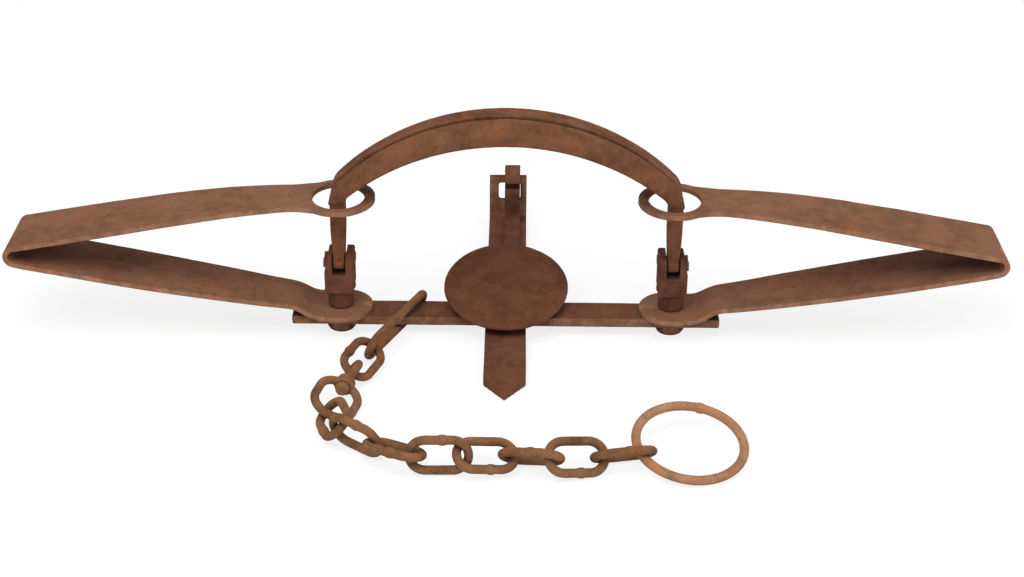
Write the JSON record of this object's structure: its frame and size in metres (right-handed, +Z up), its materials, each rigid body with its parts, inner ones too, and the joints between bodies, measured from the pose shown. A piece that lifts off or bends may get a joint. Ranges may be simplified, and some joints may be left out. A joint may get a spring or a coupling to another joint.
{
  "type": "foothold trap",
  "caption": "Closed rusted foothold trap with paired arched jaws on slotted posts, long flat springs, a round pan, a dog on an upright, and a swivel chain ending in a ring.",
  "frame": {"origin": "on the floor under the middle of the base bar", "axes": "+X along the base bar towards the right spring, +Y towards the upright that carries the dog, +Z up"},
  "size_m": [0.4922, 0.2729, 0.1156],
  "materials": {
    "rusted_steel": "brown rust, matte, finely pitted",
    "spring_steel": "brown rust, matte, rubbed smoother on the flats",
    "pan_steel": "brown rust, matte, pitted",
    "dark_steel": "dark brown rust, matte",
    "chain_steel": "lighter brown rust, matte"
  },
  "bodies": {
    "frame": {"base_bar": "rusted_steel", "cross_bar": "rusted_steel", "bar_rivet": "dark_steel", "left_post": "rusted_steel", "right_post": "rusted_steel", "left_nut": "rusted_steel", "right_nut": "rusted_steel", "left_front_pin": "dark_steel", "left_rear_pin": "dark_steel", "right_front_pin": "dark_steel", "right_rear_pin": "dark_steel", "pan_bracket": "dark_steel", "bracket_rivet": "dark_steel", "pan_pin": "dark_steel"},
    "front_jaw": {"front_jaw": "rusted_steel"},
    "rear_jaw": {"rear_jaw": "rusted_steel"},
    "left_spring_lower": {"left_spring_lower": "spring_steel"},
    "left_spring_upper": {"left_spring_upper": "spring_steel"},
    "right_spring_lower": {"right_spring_lower": "spring_steel"},
    "right_spring_upper": {"right_spring_upper": "spring_steel"},
    "pan": {"pan": "pan_steel", "pan_shank": "dark_steel", "pan_rivet": "dark_steel"},
    "dog": {"dog": "rusted_steel"},
    "bar_link": {"bar_link": "chain_steel"},
    "chain_link_1": {"chain_link_1": "chain_steel"},
    "swivel_eye": {"swivel_eye": "chain_steel"},
    "swivel_bow": {"swivel_bow": "chain_steel"},
    "chain_link_2": {"chain_link_2": "chain_steel"},
    "chain_link_3": {"chain_link_3": "chain_steel"},
    "chain_link_4": {"chain_link_4": "chain_steel"},
    "chain_link_5": {"chain_link_5": "chain_steel"},
    "chain_link_6": {"chain_link_6": "chain_steel"},
    "chain_link_7": {"chain_link_7": "chain_steel"},
    "chain_link_8": {"chain_link_8": "chain_steel"},
    "chain_link_9": {"chain_link_9": "chain_steel"},
    "anchor_ring": {"anchor_ring": "chain_steel"}
  },
  "joints": [
    {"name": "front_jaw_open", "type": "hinge", "parent": "frame", "child": "front_jaw", "pos_m": [0, -0.0034, 0.038], "axis": [1, 0, 0], "range_deg": [0, 70]},
    {"name": "rear_jaw_open", "type": "hinge", "parent": "frame", "child": "rear_jaw", "pos_m": [0, 0.0034, 0.038], "axis": [-1, 0, 0], "range_deg": [0, 70]},
    {"name": "left_spring_swivel", "type": "hinge", "parent": "frame", "child": "left_spring_lower", "pos_m": [-0.083, 0, 0.012], "axis": [0, 0, 1], "range_deg": [-12, 12]},
    {"name": "right_spring_swivel", "type": "hinge", "parent": "frame", "child": "right_spring_lower", "pos_m": [0.083, 0, 0.012], "axis": [0, 0, 1], "range_deg": [-12, 12]},
    {"name": "left_spring_press", "type": "hinge", "parent": "left_spring_lower", "child": "left_spring_upper", "pos_m": [-0.2405, 0, 0.0465], "axis": [0, 1, 0], "range_deg": [0, 18.3], "stiffness_Nm_per_rad": 3, "springref_deg": -17.19},
    {"name": "right_spring_press", "type": "hinge", "parent": "right_spring_lower", "child": "right_spring_upper", "pos_m": [0.2405, 0, 0.0465], "axis": [0, -1, 0], "range_deg": [0, 18.3], "stiffness_Nm_per_rad": 3, "springref_deg": -17.19},
    {"name": "pan_tilt", "type": "hinge", "parent": "frame", "child": "pan", "pos_m": [0, 0.038, 0.02193], "axis": [-1, 0, 0], "range_deg": [0, 16]},
    {"name": "dog_swing", "type": "hinge", "parent": "frame", "child": "dog", "pos_m": [0, 0.12025, 0.0268], "axis": [-1, 0, 0], "range_deg": [0, 120]},
    {"name": "bar_link_turn", "type": "hinge", "parent": "frame", "child": "bar_link", "pos_m": [-0.0546, -0.0127, 0.0084], "axis": [0, 0, 1], "range_deg": [-3, 6]},
    {"name": "chain_link_1_turn", "type": "hinge", "parent": "bar_link", "child": "chain_link_1", "pos_m": [-0.06527, -0.03646, 0.00819], "axis": [0, 0, -1], "range_deg": [-10, 10]},
    {"name": "swivel_bow_turn", "type": "hinge", "parent": "chain_link_1", "child": "swivel_bow", "pos_m": [-0.07272, -0.05669, 0.0076], "axis": [0, 0, 1], "range_deg": [-10, 10]},
    {"name": "chain_link_2_turn", "type": "hinge", "parent": "swivel_bow", "child": "chain_link_2", "pos_m": [-0.08167, -0.0931, 0.00663], "axis": [0, 0, -1], "range_deg": [-10, 10]},
    {"name": "chain_link_3_turn", "type": "hinge", "parent": "chain_link_2", "child": "chain_link_3", "pos_m": [-0.07566, -0.11331, 0.01065], "axis": [0, 0, 1], "range_deg": [-10, 10]},
    {"name": "chain_link_4_turn", "type": "hinge", "parent": "chain_link_3", "child": "chain_link_4", "pos_m": [-0.05804, -0.12535, 0.00928], "axis": [0, 0, -1], "range_deg": [-10, 10]},
    {"name": "chain_link_5_turn", "type": "hinge", "parent": "chain_link_4", "child": "chain_link_5", "pos_m": [-0.03908, -0.13501, 0.00961], "axis": [0, 0, 1], "range_deg": [-10, 10]},
    {"name": "chain_link_6_turn", "type": "hinge", "parent": "chain_link_5", "child": "chain_link_6", "pos_m": [-0.0178, -0.13466, 0.0101], "axis": [0, 0, -1], "range_deg": [-10, 10]},
    {"name": "chain_link_7_turn", "type": "hinge", "parent": "chain_link_6", "child": "chain_link_7", "pos_m": [0.00273, -0.12979, 0.0069], "axis": [0, 0, 1], "range_deg": [-10, 10]},
    {"name": "chain_link_8_turn", "type": "hinge", "parent": "chain_link_7", "child": "chain_link_8", "pos_m": [0.02278, -0.1365, 0.01049], "axis": [0, 0, -1], "range_deg": [-10, 10]},
    {"name": "chain_link_9_turn", "type": "hinge", "parent": "chain_link_8", "child": "chain_link_9", "pos_m": [0.04333, -0.1304, 0.00716], "axis": [0, 0, 1], "range_deg": [-10, 10]},
    {"name": "anchor_ring_turn", "type": "hinge", "parent": "chain_link_9", "child": "anchor_ring", "pos_m": [0.06452, -0.12665, 0.00744], "axis": [0, 0, -1], "range_deg": [-10, 10]},
    {"name": "swivel_spin", "type": "hinge", "parent": "swivel_bow", "child": "swivel_eye", "pos_m": [-0.07559, -0.06988, 0.00735], "axis": [-0.2249, -0.9742, -0.0192], "range_deg": [-20, 20]}
  ],
  "couplings": [
    {"joint": "rear_jaw_open", "follows": "front_jaw_open", "ratio": 1},
    {"joint": "left_spring_press", "follows": "front_jaw_open", "ratio": 0.26143},
    {"joint": "right_spring_press", "follows": "front_jaw_open", "ratio": 0.26143}
  ]
}
